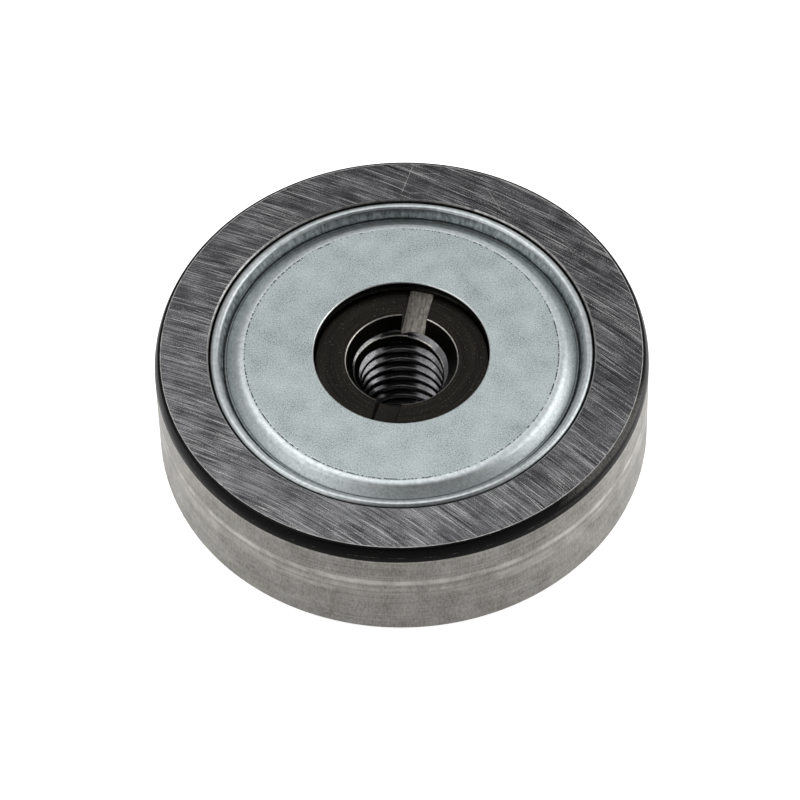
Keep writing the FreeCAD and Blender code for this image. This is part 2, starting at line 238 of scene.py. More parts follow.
def faceGroundSteel():
    material, tree, surface, inMm = newMaterial("bearingSteelFaceGround")
    look = groundFace
    centreX, centreY = look["wheelCentre"]
    split = addNode(tree, "ShaderNodeSeparateXYZ", {0: inMm})
    fromX = addNode(tree, "ShaderNodeMath", {0: split.outputs["X"], 1: centreX}, operation="SUBTRACT")
    fromY = addNode(tree, "ShaderNodeMath", {0: split.outputs["Y"], 1: centreY}, operation="SUBTRACT")
    spread = addNode(tree, "ShaderNodeCombineXYZ", {"X": fromX.outputs[0], "Y": fromY.outputs[0]})
    reach = addNode(tree, "ShaderNodeVectorMath", {0: spread.outputs[0]}, operation="LENGTH")
    turn = addNode(tree, "ShaderNodeMath", {0: fromY.outputs[0], 1: fromX.outputs[0]}, operation="ARCTAN2")
    along = addNode(tree, "ShaderNodeMath", {0: turn.outputs[0], 1: math.hypot(centreX, centreY)},
                    operation="MULTIPLY")
    onArc = addNode(tree, "ShaderNodeCombineXYZ", {"X": reach.outputs["Value"], "Y": along.outputs[0]})

    def lanes(width, length, turnBy):
        # straight lanes side by side, each with its own run of light and dark
        turned = addNode(tree, "ShaderNodeMapping", {
            "Vector": onArc.outputs[0], "Rotation": (0, 0, math.radians(turnBy))})
        sides = addNode(tree, "ShaderNodeSeparateXYZ", {0: turned.outputs[0]})
        lane = addNode(tree, "ShaderNodeMath", {0: sides.outputs["X"], 1: width}, operation="SNAP")
        spot = addNode(tree, "ShaderNodeCombineXYZ", {"X": lane.outputs[0], "Y": sides.outputs["Y"]})
        apart = addNode(tree, "ShaderNodeMapping", {
            "Vector": spot.outputs[0], "Scale": (look["laneStep"] / width, 1 / length, 1)})
        return addNode(tree, "ShaderNodeTexNoise", {
            "Vector": apart.outputs[0], "Scale": 1.0, "Detail": 2.0}, noise_dimensions="2D").outputs["Fac"]

    grit = lanes(*look["grit"], 0)
    patches = addNode(tree, "ShaderNodeTexNoise", {
        "Vector": inMm, "Scale": 1 / look["patch"], "Detail": 3.0, "Roughness": 0.6})
    pits = addNode(tree, "ShaderNodeTexNoise", {"Vector": inMm, "Scale": 1 / look["pit"], "Detail": 1.0})
    # painted light and shade: the tone is lifted on the near side and lowered on the far side
    shade = addNode(tree, "ShaderNodeMapRange", {
        "Value": reach.outputs["Value"], "From Min": look["paintedLightAt"][0], "From Max": look["paintedLightAt"][1],
        "To Min": look["paintedLightBy"][0], "To Max": look["paintedLightBy"][1]})
    lines = addNode(tree, "ShaderNodeMix", {
        "Factor": look["pitShare"], 2: grit, 3: pits.outputs["Fac"]}, data_type="FLOAT")
    tone = addNode(tree, "ShaderNodeMix", {
        "Factor": look["patchShare"], 2: lines.outputs[0], 3: patches.outputs["Fac"]}, data_type="FLOAT")
    shaded = addNode(tree, "ShaderNodeMath", {0: tone.outputs[0], 1: shade.outputs[0]}, operation="ADD")
    colour = addNode(tree, "ShaderNodeValToRGB", {0: shaded.outputs[0]}, stops=look["tones"]).outputs[0]
    for width, length, turnBy, start in look["scores"]:
        score = addNode(tree, "ShaderNodeMix", {
            "Factor": look["scorePits"], 2: lanes(width, length, turnBy), 3: pits.outputs["Fac"]},
            data_type="FLOAT")
        share = addNode(tree, "ShaderNodeMapRange", {
            "Value": score.outputs[0], "From Min": start, "From Max": start + look["scoreFade"],
            "To Max": look["scoreShare"]})
        colour = addNode(tree, "ShaderNodeMix", {
            0: share.outputs[0], 6: colour, 7: linear(look["bright"])}, data_type="RGBA").outputs[2]
    backY = addNode(tree, "ShaderNodeMath", {0: fromY.outputs[0], 1: -1.0}, operation="MULTIPLY")
    lengthwise = addNode(tree, "ShaderNodeCombineXYZ", {"X": backY.outputs[0], "Y": fromX.outputs[0]})
    tangent = addNode(tree, "ShaderNodeVectorTransform", {0: lengthwise.outputs[0]},
                      vector_type="VECTOR", convert_from="OBJECT", convert_to="WORLD")
    dressSurface(tree, surface, colour, grit, look["cut"], look["roughness"])
    tree.links.new(tangent.outputs[0], surface.inputs["Tangent"])
    surface.inputs["Anisotropic"].default_value = look["anisotropic"]
    return material


# Bearing steel, centreless ground: warm satin grey, fine lines round the roller, short marks along it and
# three paler tracks where it has run
groundRound = {
    "tones": [(0.35, "79766f"), (0.65, "c7c4bf")], "track": "f0ede6", "roughness": 0.38, "anisotropic": 0.7,
    "line": (0.08, 6.0), "mark": (0.13, 0.45), "markShare": 0.5, "cut": 0.003,
    "blotch": 2.2, "blotchShare": 0.3,
    # depth under the front face and how bright: a line under the corner, then three tracks
    "tracks": [(1.36, 0.0), (1.48, 0.36), (1.62, 0.0), (3.85, 0.0), (4.05, 0.9), (4.45, 0.9), (4.62, 0.05),
               (4.85, 0.1), (5.0, 0.3), (5.25, 0.6), (5.5, 0.2), (5.7, 0.5), (5.9, 0.3), (6.2, 0.0)],
    "patchFrom": (0.35, 0.65), "patchShare": (0.2, 0.75),  # the tracks are worn in patches
}


def roundGroundSteel():
    material, tree, surface, inMm = newMaterial("bearingSteelCentrelessGround")
    look = groundRound
    thin, long = look["line"]
    line = addNode(tree, "ShaderNodeMapping", {"Vector": inMm, "Scale": (1 / long, 1 / long, 1 / thin)})
    lines = addNode(tree, "ShaderNodeTexNoise", {
        "Vector": line.outputs[0], "Scale": 1.0, "Detail": 3.0, "Roughness": 0.6})
    thin, long = look["mark"]
    mark = addNode(tree, "ShaderNodeMapping", {"Vector": inMm, "Scale": (1 / thin, 1 / thin, 1 / long)})
    marks = addNode(tree, "ShaderNodeTexNoise", {
        "Vector": mark.outputs[0], "Scale": 1.0, "Detail": 2.0, "Roughness": 0.6})
    blotches = addNode(tree, "ShaderNodeTexNoise", {
        "Vector": inMm, "Scale": 1 / look["blotch"], "Detail": 3.0, "Roughness": 0.6})
    fine = addNode(tree, "ShaderNodeMix", {
        "Factor": look["markShare"], 2: lines.outputs["Fac"], 3: marks.outputs["Fac"]}, data_type="FLOAT")
    mixed = addNode(tree, "ShaderNodeMix", {
        "Factor": look["blotchShare"], 2: fine.outputs[0], 3: blotches.outputs["Fac"]}, data_type="FLOAT")
    base = addNode(tree, "ShaderNodeValToRGB", {0: mixed.outputs[0]}, stops=look["tones"])
    split = addNode(tree, "ShaderNodeSeparateXYZ", {0: inMm})
    down = addNode(tree, "ShaderNodeMapRange", {
        "Value": split.outputs["Z"], "From Min": frontFace, "From Max": rearFace})
    tracks = addNode(tree, "ShaderNodeValToRGB", {0: down.outputs[0]}, stops=[
        (depth / (frontFace - rearFace), amount) for depth, amount in look["tracks"]])
    patchy = addNode(tree, "ShaderNodeMapRange", {
        "Value": blotches.outputs["Fac"], "From Min": look["patchFrom"][0], "From Max": look["patchFrom"][1],
        "To Min": look["patchShare"][0], "To Max": look["patchShare"][1]})
    share = addNode(tree, "ShaderNodeMath", {0: tracks.outputs[0], 1: patchy.outputs[0]},
                    operation="MULTIPLY")
    colour = addNode(tree, "ShaderNodeMix", {
        0: share.outputs[0], 6: base.outputs[0], 7: linear(look["track"])}, data_type="RGBA")
    tangent = addNode(tree, "ShaderNodeTangent", direction_type="RADIAL", axis="Z")
    dressSurface(tree, surface, colour.outputs[2], fine.outputs[0], look["cut"], look["roughness"])
    tree.links.new(tangent.outputs[0], surface.inputs["Tangent"])
    surface.inputs["Anisotropic"].default_value = look["anisotropic"]
    surface.inputs["Anisotropic Rotation"].default_value = 0.25  # a quarter turn
    return material


# Hardening scale left on the unground corner: black and slightly glossy, with a few lighter specks. Its tone
# by height is partly the scale's brown tint and partly painted reflection: darkest in the middle band
scaleCorner = {
    "bandHeight": 1.3,  # mm under the front face in which the bands and the worn line lie
    "scaleAndReflectionBands": [(0.2, "0c0b0a"), (0.3, "020202"), (0.8, "020202"), (0.9, "0a0a0a")],
    "roughness": (0.2, 0.4), "gloss": 0.1,
    "speck": 0.2, "speckTone": "4c4a46", "speckFrom": (0.64, 0.74), "speckShare": 0.8,
    # a broken line of bare metal between the bands
    "wearTone": "5c574f", "wearLine": [(0.3, 0), (0.345, 1), (0.39, 0)],
    "wearRun": 0.7, "wearFrom": (0.5, 0.62),
    # a patch knocked bare high on one side: its turn in degrees, mm out from the axis, and how torn it is
    "bareTone": "74726e", "bareTurn": -16, "bareFrom": (18.4, 19.3), "bareRise": (0.55, 0.75),
    "bareShare": 0.5, "tornFrom": (0.35, 0.6), "tornShare": (0.5, 1.8),
}


def hardeningScale():
    material, tree, surface, inMm = newMaterial("hardeningScaleBlack")
    look = scaleCorner
    split = addNode(tree, "ShaderNodeSeparateXYZ", {0: inMm})
    rise = addNode(tree, "ShaderNodeMapRange", {
        "Value": split.outputs["Z"], "From Min": frontFace - look["bandHeight"], "From Max": frontFace})
    # painted reflection with the scale's tint: lighter bands below and under the face, darkest between
    scaleAndReflectionBands = addNode(tree, "ShaderNodeValToRGB", {0: rise.outputs[0]}, stops=look["scaleAndReflectionBands"])
    specks = addNode(tree, "ShaderNodeTexNoise", {
        "Vector": inMm, "Scale": 1 / look["speck"], "Detail": 4.0, "Roughness": 0.7})
    isSpeck = addNode(tree, "ShaderNodeMapRange", {
        "Value": specks.outputs["Fac"], "From Min": look["speckFrom"][0], "From Max": look["speckFrom"][1],
        "To Max": look["speckShare"]})
    colour = addNode(tree, "ShaderNodeMix", {
        0: isSpeck.outputs[0], 6: scaleAndReflectionBands.outputs[0], 7: linear(look["speckTone"])}, data_type="RGBA")
    line = addNode(tree, "ShaderNodeValToRGB", {0: rise.outputs[0]}, stops=look["wearLine"])
    runs = addNode(tree, "ShaderNodeTexNoise", {
        "Vector": inMm, "Scale": 1 / look["wearRun"], "Detail": 4.0, "Roughness": 0.7})
    isRun = addNode(tree, "ShaderNodeMapRange", {
        "Value": runs.outputs["Fac"], "From Min": look["wearFrom"][0], "From Max": look["wearFrom"][1]})
    isWorn = addNode(tree, "ShaderNodeMath", {0: line.outputs[0], 1: isRun.outputs[0]}, operation="MULTIPLY")
    worn = addNode(tree, "ShaderNodeMix", {
        0: isWorn.outputs[0], 6: colour.outputs[2], 7: linear(look["wearTone"])}, data_type="RGBA")
    turn = math.radians(look["bareTurn"])
    aside = addNode(tree, "ShaderNodeVectorMath", {0: inMm, 1: (math.cos(turn), math.sin(turn), 0)},
                    operation="DOT_PRODUCT")
    isBeside = addNode(tree, "ShaderNodeMapRange", {
        "Value": aside.outputs["Value"], "From Min": look["bareFrom"][0], "From Max": look["bareFrom"][1],
        "To Max": look["bareShare"]})
    isHigh = addNode(tree, "ShaderNodeMapRange", {
        "Value": rise.outputs[0], "From Min": look["bareRise"][0], "From Max": look["bareRise"][1]})
    patch = addNode(tree, "ShaderNodeMath", {0: isBeside.outputs[0], 1: isHigh.outputs[0]},
                    operation="MULTIPLY")
    torn = addNode(tree, "ShaderNodeMapRange", {
        "Value": specks.outputs["Fac"], "From Min": look["tornFrom"][0], "From Max": look["tornFrom"][1],
        "To Min": look["tornShare"][0], "To Max": look["tornShare"][1]})
    isBare = addNode(tree, "ShaderNodeMath", {0: patch.outputs[0], 1: torn.outputs[0]}, operation="MULTIPLY")
    bare = addNode(tree, "ShaderNodeMix", {
        0: isBare.outputs[0], 6: worn.outputs[2], 7: linear(look["bareTone"])}, data_type="RGBA")
    rough = addNode(tree, "ShaderNodeMapRange", {
        "Value": specks.outputs["Fac"], "To Min": look["roughness"][0], "To Max": look["roughness"][1]})
    tree.links.new(bare.outputs[2], surface.inputs["Base Color"])
    tree.links.new(rough.outputs[0], surface.inputs["Roughness"])
    surface.inputs["Specular IOR Level"].default_value = look["gloss"]
    return material


# Zinc-plated sheet steel, pressed: pale grey with a breath of green-blue, satin, fine dark speckle and
# soft cloudy patches
zincSheet = {
    "tones": [(0.32, "6c7677"), (0.48, "a9b3b4"), (0.68, "ccd4d4")], "roughness": 0.35,
    "speck": 0.11, "cloud": 2.2, "cloudShare": 0.25, "grain": 0.0015,
}


def zincPlatedSheet():
    material, tree, surface, inMm = newMaterial("zincPlatedSheet")
    look = zincSheet
    specks = addNode(tree, "ShaderNodeTexNoise", {
        "Vector": inMm, "Scale": 1 / look["speck"], "Detail": 2.0, "Roughness": 0.65})
    clouds = addNode(tree, "ShaderNodeTexNoise", {
        "Vector": inMm, "Scale": 1 / look["cloud"], "Detail": 3.0, "Roughness": 0.55})
    mixed = addNode(tree, "ShaderNodeMix", {
        "Factor": look["cloudShare"], 2: specks.outputs["Fac"], 3: clouds.outputs["Fac"]}, data_type="FLOAT")
    colour = addNode(tree, "ShaderNodeValToRGB", {0: mixed.outputs[0]}, stops=look["tones"])
    dressSurface(tree, surface, colour.outputs[0], specks.outputs["Fac"], look["grain"], look["roughness"])
    return material


# Black oxide on turned steel: brown-black, fine rings of tool marks, a few pale specks of dust
turnedBlack = {
    "tones": [(0.42, "1d1c1a"), (0.72, "302d28")], "roughness": 0.32, "ring": (0.06, 5.0), "cut": 0.0015,
    "dust": "8a847a", "dustSize": 0.13, "dustFrom": (0.64, 0.72), "dustShare": 0.5,
}


def blackOxideSteel():
    material, tree, surface, inMm = newMaterial("blackOxideTurnedSteel")
    look = turnedBlack
    split = addNode(tree, "ShaderNodeSeparateXYZ", {0: inMm})
    level = addNode(tree, "ShaderNodeCombineXYZ", {"X": split.outputs["X"], "Y": split.outputs["Y"]})
    reach = addNode(tree, "ShaderNodeVectorMath", {0: level.outputs[0]}, operation="LENGTH")
    narrow, long = look["ring"]
    across = addNode(tree, "ShaderNodeMath", {0: reach.outputs["Value"], 1: 1 / narrow},
                     operation="MULTIPLY")
    ring = addNode(tree, "ShaderNodeMapping", {"Vector": inMm, "Scale": (1 / long, 1 / long, 1 / narrow)})
    rings = addNode(tree, "ShaderNodeTexNoise", {
        "Vector": ring.outputs[0], "W": across.outputs[0], "Scale": 1.0, "Detail": 2.0},
        noise_dimensions="4D")
    dust = addNode(tree, "ShaderNodeTexNoise", {
        "Vector": inMm, "Scale": 1 / look["dustSize"], "Detail": 3.0, "Roughness": 0.6})
    isDust = addNode(tree, "ShaderNodeMapRange", {
        "Value": dust.outputs["Fac"], "From Min": look["dustFrom"][0], "From Max": look["dustFrom"][1],
        "To Max": look["dustShare"]})
    base = addNode(tree, "ShaderNodeValToRGB", {0: rings.outputs["Fac"]}, stops=look["tones"])
    colour = addNode(tree, "ShaderNodeMix", {
        0: isDust.outputs[0], 6: base.outputs[0], 7: linear(look["dust"])}, data_type="RGBA")
    dressSurface(tree, surface, colour.outputs[2], rings.outputs["Fac"], look["cut"], look["roughness"])
    return material


# Nitrile rubber, moulded: matt black, faintly grained
mouldedRubber = {"tones": [(0.35, "141414"), (0.75, "2a2a2a")], "roughness": 0.6, "ior": 1.52,
                 "grain": 0.2, "relief": 0.004}


def nitrileRubber():
    material, tree, surface, inMm = newMaterial("nitrileRubberMoulded")
    look = mouldedRubber
    grains = addNode(tree, "ShaderNodeTexNoise", {
        "Vector": inMm, "Scale": 1 / look["grain"], "Detail": 3.0, "Roughness": 0.6})
    colour = addNode(tree, "ShaderNodeValToRGB", {0: grains.outputs["Fac"]}, stops=look["tones"])
    dressSurface(tree, surface, colour.outputs[0], grains.outputs["Fac"], look["relief"], look["roughness"],
                 metallic=0.0)
    surface.inputs["IOR"].default_value = look["ior"]
    return material


plainGrain = {"darkAt": 0.3, "lightAt": 0.7, "relief": 0.001}


def plainSteel(name, dark, light, roughness, grain, stretch=(1, 1, 1)):
    # steel with a grain of two greys, drawn out along X, Y or Z where it is streaked
    material, tree, surface, inMm = newMaterial(name)
    drawn = addNode(tree, "ShaderNodeMapping", {"Vector": inMm, "Scale": tuple(1 / part for part in stretch)})
    grains = addNode(tree, "ShaderNodeTexNoise", {
        "Vector": drawn.outputs[0], "Scale": 1 / grain, "Detail": 4.0, "Roughness": 0.6})
    colour = addNode(tree, "ShaderNodeValToRGB", {0: grains.outputs["Fac"]},
                     stops=[(plainGrain["darkAt"], dark), (plainGrain["lightAt"], light)])
    dressSurface(tree, surface, colour.outputs[0], grains.outputs["Fac"], plainGrain["relief"], roughness)
    return material


faceSteel = faceGroundSteel()
roundSteel = roundGroundSteel()
cornerScale = hardeningScale()
# paler steel for scratches, and for the ring's edges, where it is also a painted highlight
freshSteelAndEdgeHighlight = plainSteel("bearingSteelFreshScratchAndEdgeHighlight", "7c7c7a", "c8c8c6", 0.28, 0.4)
lipSteel = plainSteel("bearingSteelTurnedMouth", "585653", "84817d", 0.4, 0.2)
zinc = zincPlatedSheet()
zincMark = plainSteel("zincSheetDieMark", "2d3333", "7c8484", 0.5, 0.1)
zincRolled = plainSteel("zincSheetRolledRim", "a6acad", "c6cbcc", 0.31, 0.4)
# painted highlight: the bend is a paler copy of the sheet
zincBendHighlight = plainSteel("zincSheetBendPaintedHighlight", "b4bcbd", "d6dcdd", 0.35, 0.35)
# the rim's inner wall: streaked along its height, and darker than the sheet as painted shade
zincWallStreakedShaded = plainSteel("zincSheetDrawnWallPaintedShade", "676d6e", "bec3c4", 0.38, 0.25, stretch=(1, 1, 12))
# painted light: the ramp is a lighter copy of the sheet
zincRampLit = plainSteel("zincSheetRampPaintedLight", "a8b0b1", "d0d6d7", 0.4, 0.2)
# painted shade: the crease's inner half is darker and duller
zincHollowShade = plainSteel("zincSheetHollowPaintedShade", "666c6d", "8a9091", 0.5, 0.3)
# painted shade: the crease's outer half is near black
zincCreaseShade = plainSteel("zincSheetCreasePaintedShade", "161a1a", "323838", 0.4, 0.3)
# painted shade: the wall of the centre hole is dark
zincHoleWallShade = plainSteel("zincSheetHoleWallPaintedShade", "2c3030", "4a4e4e", 0.45, 0.15)
# painted highlight: a pale line on the centre hole's edge
zincHoleEdgeHighlight = plainSteel("zincSheetHoleEdgePaintedHighlight", "d4d8d6", "f0f2f0", 0.3, 0.2)
studBlack = blackOxideSteel()
# painted shade: the stud's chamfer under the cover is near black
chamferShade = plainSteel("blackOxideChamferPaintedShade", "0d0c0b", "1a1816", 0.4, 0.2)
threadBlack = plainSteel("blackOxideCutThread", "5c5c5e", "848486", 0.13, 0.2)
# a pale finish on the thread's first edge and the cone's mouth: partly rubbed metal, partly painted highlight
edgeSteelAndHighlight = plainSteel("blackOxideRubbedEdgeAndHighlight", "9a968f", "d0ccc6", 0.3, 0.3)
# painted light: the far half of the slot floor is a lighter grey
slotFloorLit = plainSteel("sawnSlotPaintedLight", "4e4c49", "8a867f", 0.45, 0.18, stretch=(1, 30, 1))
slotBlack = plainSteel("sawnSlotBlackOxide", "1b1a18", "383531", 0.36, 0.16)
rubber = nitrileRubber()
print("materials:", len(bpy.data.materials))

# Roller ring: ground faces and outside, black unground front corner, rolled-in mouths
rollerRing = {
    "cornerWidth": 0.5, "cornerHeight": 1.27, "kneeInset": 0.25, "kneeDrop": 0.17, "rearCorner": 0.9,
    "mouth": 15.62, "bevel": 0.12, "lockLip": 0.45, "grooveDepth": 0.25, "seatDepth": 1.6,
    "land": 14.45, "racewayRound": 3.12375, "racewayHalf": 2.3364, "edge": 0.03, "columns": 640,
    # the face's outer edge and the mouth's bevel take the paler steel: bare edges that also carry a painted
    # highlight
    "faceEdge": 0.06, "scaleRun": 0.08,  # bare edge of the face, black finish that runs down the outside
    # knocks: turn in degrees, across, depth under the face, half size, how far the surface is pushed in
    "knocks": [(-133.2, 19.92, 0.45, 0.26, 0.05), (-123.1, 19.55, 0.02, 0.24, 0.05),
               (80.8, 15.72, 0.0, 0.3, -0.06), (27.5, 15.72, 0.0, 0.3, -0.05),
               (-19.6, 19.62, 0.1, 0.4, 0.04), (-22.5, 19.6, 0.1, 0.3, 0.03)],
    "knockDrop": 0.4,  # how far a knock goes down, as a share of its push
    # scratches: both ends on the face, width, depth
    "scratches": [((14.35, -4.1), (18.35, -7.6), 0.045, 0.02), ((-3.62, 18.9), (-3.85, 15.95), 0.045, 0.02),
                  ((3.2, 17.58), (4.54, 15.95), 0.045, 0.02)],
}


def knockedIn(across, up, angle):
    for turn, knockAcross, depth, size, push in rollerRing["knocks"]:
        aside = (angle - math.radians(turn) + math.pi) % fullTurn - math.pi
        away = math.hypot(aside * across, across - knockAcross, up - frontFace + depth)
        if away < size:
            share = 1 - away / size
            return across - push * share, min(up, frontFace) - abs(push) * rollerRing["knockDrop"] * share
    return across, up


def scratchWedge(name, start, end, width, depth, finish, materials):
    # a thin wedge on the face, its point down
    run = Vector(end) - Vector(start)
    side = Vector((-run.y, run.x)).normalized() * width
    points = []
    for spot in (Vector(start), Vector(end)):
        for corner, height in ((spot + side, depth), (spot - side, depth), (spot, -depth)):
            points.append((corner.x * mm, corner.y * mm, (frontFace + height) * mm))
    faces = [(0, 1, 2), (3, 5, 4), (0, 3, 4, 1), (1, 4, 5, 2), (2, 5, 3, 0)]
    return meshObject(name, points, faces, [finish] * len(faces), materials)


def makeRollerRing():
    s = rollerRing
    face, outside, corner, freshAndEdgeHighlight, lip = range(5)
    rim = s["mouth"] + s["bevel"]
    groove = s["mouth"] + s["grooveDepth"]
    grooveStart = s["lockLip"] + s["grooveDepth"]
    middle = (frontFace + rearFace) / 2
    flankRise = s["cornerHeight"] - s["kneeDrop"]
    flankRound = (s["kneeInset"] ** 2 + flankRise ** 2) / (s["kneeInset"] * 2)
    edgeRun = s["cornerWidth"] - s["kneeInset"]
    edgeRound = (edgeRun ** 2 + s["kneeDrop"] ** 2) / (s["kneeDrop"] * 2)
    outline = outlineOf([
        (face, rim, rearFace),
        (face, ringRadius - s["rearCorner"], rearFace),
        (outside, ringRadius, rearFace + s["rearCorner"], s["rearCorner"], -1),
        (outside, ringRadius, frontFace - s["cornerHeight"] - s["scaleRun"]),
        (corner, ringRadius, frontFace - s["cornerHeight"]),
        (corner, ringRadius - s["kneeInset"], frontFace - s["kneeDrop"], flankRound, -1),
        (corner, ringRadius - s["cornerWidth"], frontFace, edgeRound, -1),
        (freshAndEdgeHighlight, ringRadius - s["cornerWidth"] - s["faceEdge"], frontFace),
        (face, rim, frontFace),
        (freshAndEdgeHighlight, s["mouth"], frontFace - s["bevel"]),
        (lip, s["mouth"], frontFace - s["lockLip"]),
        (corner, groove, frontFace - grooveStart),
        (corner, groove, frontFace - s["seatDepth"]),
        (outside, s["land"], frontFace - s["seatDepth"]),
        (outside, s["land"], middle + s["racewayHalf"]),
        (outside, s["land"], middle - s["racewayHalf"], s["racewayRound"], 1),
        (outside, s["land"], rearFace + s["seatDepth"]),
        (outside, groove, rearFace + s["seatDepth"]),
        (corner, groove, rearFace + grooveStart),
        (corner, s["mouth"], rearFace + s["lockLip"]),
        (lip, s["mouth"], rearFace + s["bevel"]),
    ], s["edge"])
    finishes = [faceSteel, roundSteel, cornerScale, freshSteelAndEdgeHighlight, lipSteel]
    ring = meshObject("rollerRing", *turnedGrid(outline, s["columns"], knockedIn), finishes)
    for number, scratch in enumerate(s["scratches"]):
        cutWith(ring, scratchWedge(f"scratchWedge{number}", *scratch, freshAndEdgeHighlight, finishes))
    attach(ring, "roller")
    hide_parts("outer_ring")


# Pressed plates: the front cover and the rear washer have the same rolled rim
pressedPlate = {
    "sheet": 0.6, "foot": 15.84, "footTop": 0.875, "seatDepth": 1.6, "neck": 0.5,
    "rimOuter": 15.465, "rimInner": 14.765, "rimShoulder": 0.22, "rimRound": 0.42,
    "crease": 14.315, "creaseHalf": 0.18, "creaseSide": 0.92, "creaseRound": 0.28,
    "disc": 12.765, "bendRun": 0.712, "bendFall": 0.234, "bendRound": 1.2, "holeEdge": 0.09,
    # a broken line from the die's edge and an uneven roll: radius and height of the circles read in the noise
    "dieMark": 0.055, "dieDepth": 0.025, "dashes": (70, 3.1), "dashRuns": (2.5, 8.4), "runShare": 0.5,
    "rollRipple": 0.03, "ripples": (9, 1.7), "fineRipples": (31, 5.2), "fineShare": 0.6,
    "edge": 0.05, "columns": 840,
}


def noiseAround(angle, radius, height):
    return noise.noise(Vector((math.cos(angle) * radius, math.sin(angle) * radius, height)))


def isMarked(angle):
    s = pressedPlate
    return noiseAround(angle, *s["dashes"]) + s["runShare"] * noiseAround(angle, *s["dashRuns"]) > 0.0


def pressedIn(across, up, angle):
    # the die's mark round the disc, and the roll's slightly uneven edge
    s = pressedPlate
    if abs(across - s["disc"] + s["dieMark"]) < 0.001 and isMarked(angle):
        return across, up + math.copysign(s["dieDepth"], (frontFace + rearFace) / 2 - up)
    if s["crease"] + s["creaseHalf"] < across < (s["rimInner"] + s["rimOuter"]) / 2:
        ripple = noiseAround(angle, *s["ripples"])
        fine = noiseAround(angle, *s["fineRipples"])
        return across + s["rollRipple"] * (ripple + s["fineShare"] * fine), up
    return across, up


def makePlate(name, plate, upOf, outward):
    s = pressedPlate
    hole = plate["hole"]
    drop = plate["drop"]
    back = drop + s["sheet"]
    creaseRise = math.sqrt(s["creaseRound"] ** 2 - s["creaseHalf"] ** 2)
    creaseFloor = s["creaseSide"] + s["creaseRound"] - creaseRise
    plain, mark, sheared, holeEdgeHighlight, rolled, creased, bent, drawn, ramp, hollow = range(10)
    outline = outlineOf([
        (plain, hole, upOf(back)),
        (sheared, hole, upOf(drop + s["holeEdge"])),
        (holeEdgeHighlight, hole + s["holeEdge"], upOf(drop)),
        (plain, s["disc"] - s["dieMark"] * 4, upOf(drop)),
        (plain, s["disc"] - s["dieMark"] * 2, upOf(drop)),
        (mark, s["disc"] - s["dieMark"], upOf(drop)),
        (mark, s["disc"], upOf(drop)),
        (bent, s["disc"] + s["bendRun"], upOf(drop + s["bendFall"]), s["bendRound"], outward),
        (ramp, s["crease"] - s["creaseHalf"], upOf(s["creaseSide"])),
        (hollow, s["crease"], upOf(creaseFloor), s["creaseRound"], -outward),
        (creased, s["crease"] + s["creaseHalf"], upOf(s["creaseSide"]), s["creaseRound"], -outward),
        (drawn, s["rimInner"], upOf(s["rimShoulder"])),
        (rolled, s["rimOuter"], upOf(s["rimShoulder"]), s["rimRound"], outward),
        (rolled, s["rimOuter"], upOf(s["neck"])),
        (plain, s["foot"], upOf(s["footTop"])),
        (plain, s["foot"], upOf(s["seatDepth"])),
        (plain, s["crease"] - s["creaseHalf"], upOf(s["seatDepth"])),
        (plain, s["disc"], upOf(back)),
    ], s["edge"])
    points, faces, finishes = turnedGrid(outline, s["columns"], pressedIn)
    for number in range(len(faces)):
        angle = fullTurn * (number // len(outline) + 0.5) / s["columns"]
        if finishes[number] == mark and not isMarked(angle):
            finishes[number] = plain
    sheets = [zinc, zincMark, zincHoleWallShade, zincHoleEdgeHighlight, zincRolled, zincCreaseShade, zincBendHighlight, zincWallStreakedShaded, zincRampLit,
              zincHollowShade]
    return meshObject(name, points, faces, finishes, sheets)


frontCover = {"hole": 7.11, "drop": 0.2}


def makeFrontCover():
    cover = makePlate("pressedCover", frontCover, lambda depth: frontFace - depth, 1)
    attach(cover, "roller")
    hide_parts("front_cover")


sealWasher = {"hole": 11.7, "drop": 0.3}


def makeSealWasher():
    washer = makePlate("sealWasher", sealWasher, lambda depth: rearFace + depth, -1)
    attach(washer, "roller")
    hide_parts("seal_washer")


# Rubber lip bonded to the washer's inner edge
sealLip = {"bond": 0.7, "back": 0.9, "body": 0.4, "tip": 10.59, "reach": 0.45, "tipEdge": 0.15,
           "wrap": 0.4, "wrapStart": 0.4, "recess": 0.1, "edge": 0.06, "columns": 480}


def makeSealLip():
    s = sealLip
    window = sealWasher["hole"]
    bodyTop = rearFace + s["back"] + s["body"]
    tipTop = bodyTop + s["reach"]
    wrap = window - s["wrap"]
    outline = outlineOf([
        (0, window, rearFace + s["back"]),
        (0, window + s["bond"], rearFace + s["back"]),
        (0, window + s["bond"], bodyTop),
        (0, window, bodyTop),
        (0, s["tip"], tipTop),
        (0, s["tip"], tipTop - s["tipEdge"]),
        (0, wrap, rearFace + s["back"] + s["recess"]),
        (0, wrap, rearFace + s["wrapStart"]),
        (0, window, rearFace + s["wrapStart"]),
    ], s["edge"])
    lip = meshObject("sealLip", *turnedGrid(outline, s["columns"]), [rubber])
    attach(lip, "roller")
    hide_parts("seal_lip")


